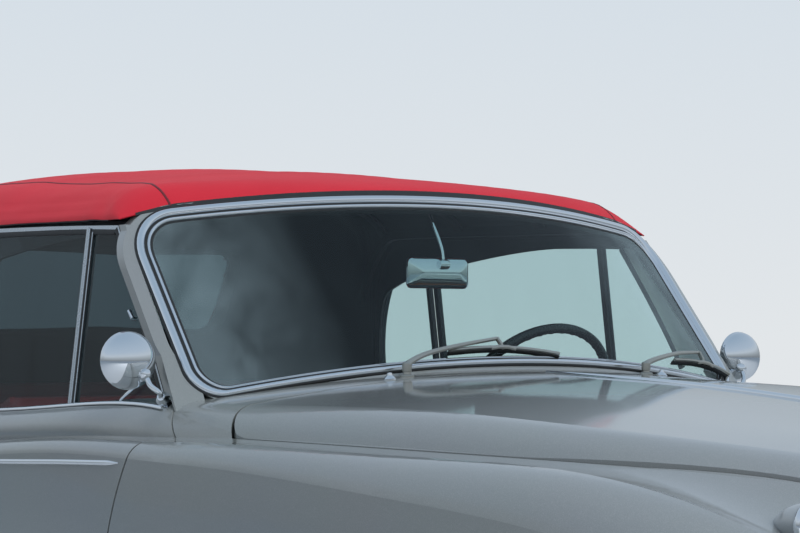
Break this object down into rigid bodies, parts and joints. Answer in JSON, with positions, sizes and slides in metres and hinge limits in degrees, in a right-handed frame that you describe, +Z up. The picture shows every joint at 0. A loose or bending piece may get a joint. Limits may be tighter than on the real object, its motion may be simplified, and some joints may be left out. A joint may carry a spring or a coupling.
{
  "type": "1950s convertible car",
  "caption": "Four-seat two-door open tourer of the 1950s with its red fabric roof up, upright grille, round lamps and chrome trim.",
  "frame": {"origin": "on the ground, midway between the bumpers and on the centre line", "axes": "+Z up, the car faces -Y, +X is the car's left side"},
  "size_m": [1.766, 4.76, 1.5487],
  "materials": {
    "paint": "gloss metallic",
    "underbody": "satin",
    "chrome": "polished",
    "cast_metal": "satin",
    "glass": "clear",
    "lamp_glass": "fluted",
    "red_glass": "fluted",
    "roof_fabric": "woven",
    "black_plastic": "gloss",
    "dash_wood": "varnished",
    "seat_leather": "grained",
    "tyre": "matt",
    "wheel_paint": "gloss"
  },
  "bodies": {
    "body": {"wing_left": "paint", "wing_right": "paint", "nose": "paint", "scuttle": "paint", "quarter_left": "paint", "quarter_right": "paint", "tail": "paint", "deck": "paint", "floor": "underbody", "rear_floor": "underbody", "front_suspension": "underbody", "rear_axle": "underbody", "exhaust": "underbody", "fuel_tank": "underbody", "engine": "underbody", "windscreen_surround": "chrome", "grille": "chrome", "front_bumper": "chrome", "rear_bumper": "chrome", "interior_mirror": "chrome", "quarter_frame_left": "chrome", "quarter_frame_right": "chrome", "wipers": "cast_metal", "windscreen_glass": "glass", "quarter_glass_left": "glass", "quarter_glass_right": "glass", "rear_window": "glass", "headlamps": "lamp_glass", "wing_lamps": "lamp_glass", "tail_lamps": "red_glass", "soft_top": "roof_fabric", "column": "black_plastic", "dashboard": "dash_wood", "front_seat_left": "seat_leather", "front_seat_right": "seat_leather", "rear_seat": "seat_leather"},
    "bonnet": {"bonnet": "paint"},
    "boot_lid": {"boot_lid": "paint"},
    "door_left": {"door_left": "paint", "door_frame_left": "chrome", "door_glass_left": "glass", "mirror_left": "chrome"},
    "door_right": {"door_right": "paint", "door_frame_right": "chrome", "door_glass_right": "glass", "mirror_right": "chrome"},
    "steering_wheel": {"steering_wheel": "black_plastic"},
    "steer_left": {"knuckle_left": "underbody"},
    "steer_right": {"knuckle_right": "underbody"},
    "wheel_front_left": {"wheel_front_left": "wheel_paint", "tyre_front_left": "tyre"},
    "wheel_front_right": {"wheel_front_right": "wheel_paint", "tyre_front_right": "tyre"},
    "wheel_rear_left": {"wheel_rear_left": "wheel_paint", "tyre_rear_left": "tyre"},
    "wheel_rear_right": {"wheel_rear_right": "wheel_paint", "tyre_rear_right": "tyre"}
  },
  "joints": [
    {"name": "door_left_hinge", "type": "hinge", "parent": "body", "child": "door_left", "pos_m": [0.876, -0.5, 0.6], "axis": [0, 0, -1], "range_deg": [0, 65]},
    {"name": "door_right_hinge", "type": "hinge", "parent": "body", "child": "door_right", "pos_m": [-0.876, -0.5, 0.6], "axis": [0, 0, 1], "range_deg": [0, 65]},
    {"name": "bonnet_hinge", "type": "hinge", "parent": "body", "child": "bonnet", "pos_m": [0, -0.625, 1.008], "axis": [-1, 0, 0], "range_deg": [0, 50]},
    {"name": "boot_hinge", "type": "hinge", "parent": "body", "child": "boot_lid", "pos_m": [0, 1.55, 0.933], "axis": [1, 0, 0], "range_deg": [0, 60]},
    {"name": "kingpin_left", "type": "hinge", "parent": "body", "child": "steer_left", "pos_m": [0.62, -1.525, 0.333], "axis": [0, 0, 1], "range_deg": [-30, 30]},
    {"name": "kingpin_right", "type": "hinge", "parent": "body", "child": "steer_right", "pos_m": [-0.62, -1.525, 0.333], "axis": [0, 0, 1], "range_deg": [-30, 30]},
    {"name": "steering_column", "type": "hinge", "parent": "body", "child": "steering_wheel", "pos_m": [0.36, -0.168, 0.948], "axis": [0, 0.866, 0.5], "range_deg": [-495, 495]},
    {"name": "wheel_front_left_spin", "type": "hinge", "parent": "steer_left", "child": "wheel_front_left", "pos_m": [0.715, -1.525, 0.333], "axis": [1, 0, 0], "continuous": true},
    {"name": "wheel_front_right_spin", "type": "hinge", "parent": "steer_right", "child": "wheel_front_right", "pos_m": [-0.715, -1.525, 0.333], "axis": [1, 0, 0], "continuous": true},
    {"name": "wheel_rear_left_spin", "type": "hinge", "parent": "body", "child": "wheel_rear_left", "pos_m": [0.715, 1.275, 0.333], "axis": [1, 0, 0], "continuous": true},
    {"name": "wheel_rear_right_spin", "type": "hinge", "parent": "body", "child": "wheel_rear_right", "pos_m": [-0.715, 1.275, 0.333], "axis": [1, 0, 0], "continuous": true}
  ],
  "couplings": [
    {"joint": "kingpin_right", "follows": "kingpin_left", "ratio": 1},
    {"joint": "steering_column", "follows": "kingpin_left", "ratio": 16}
  ]
}
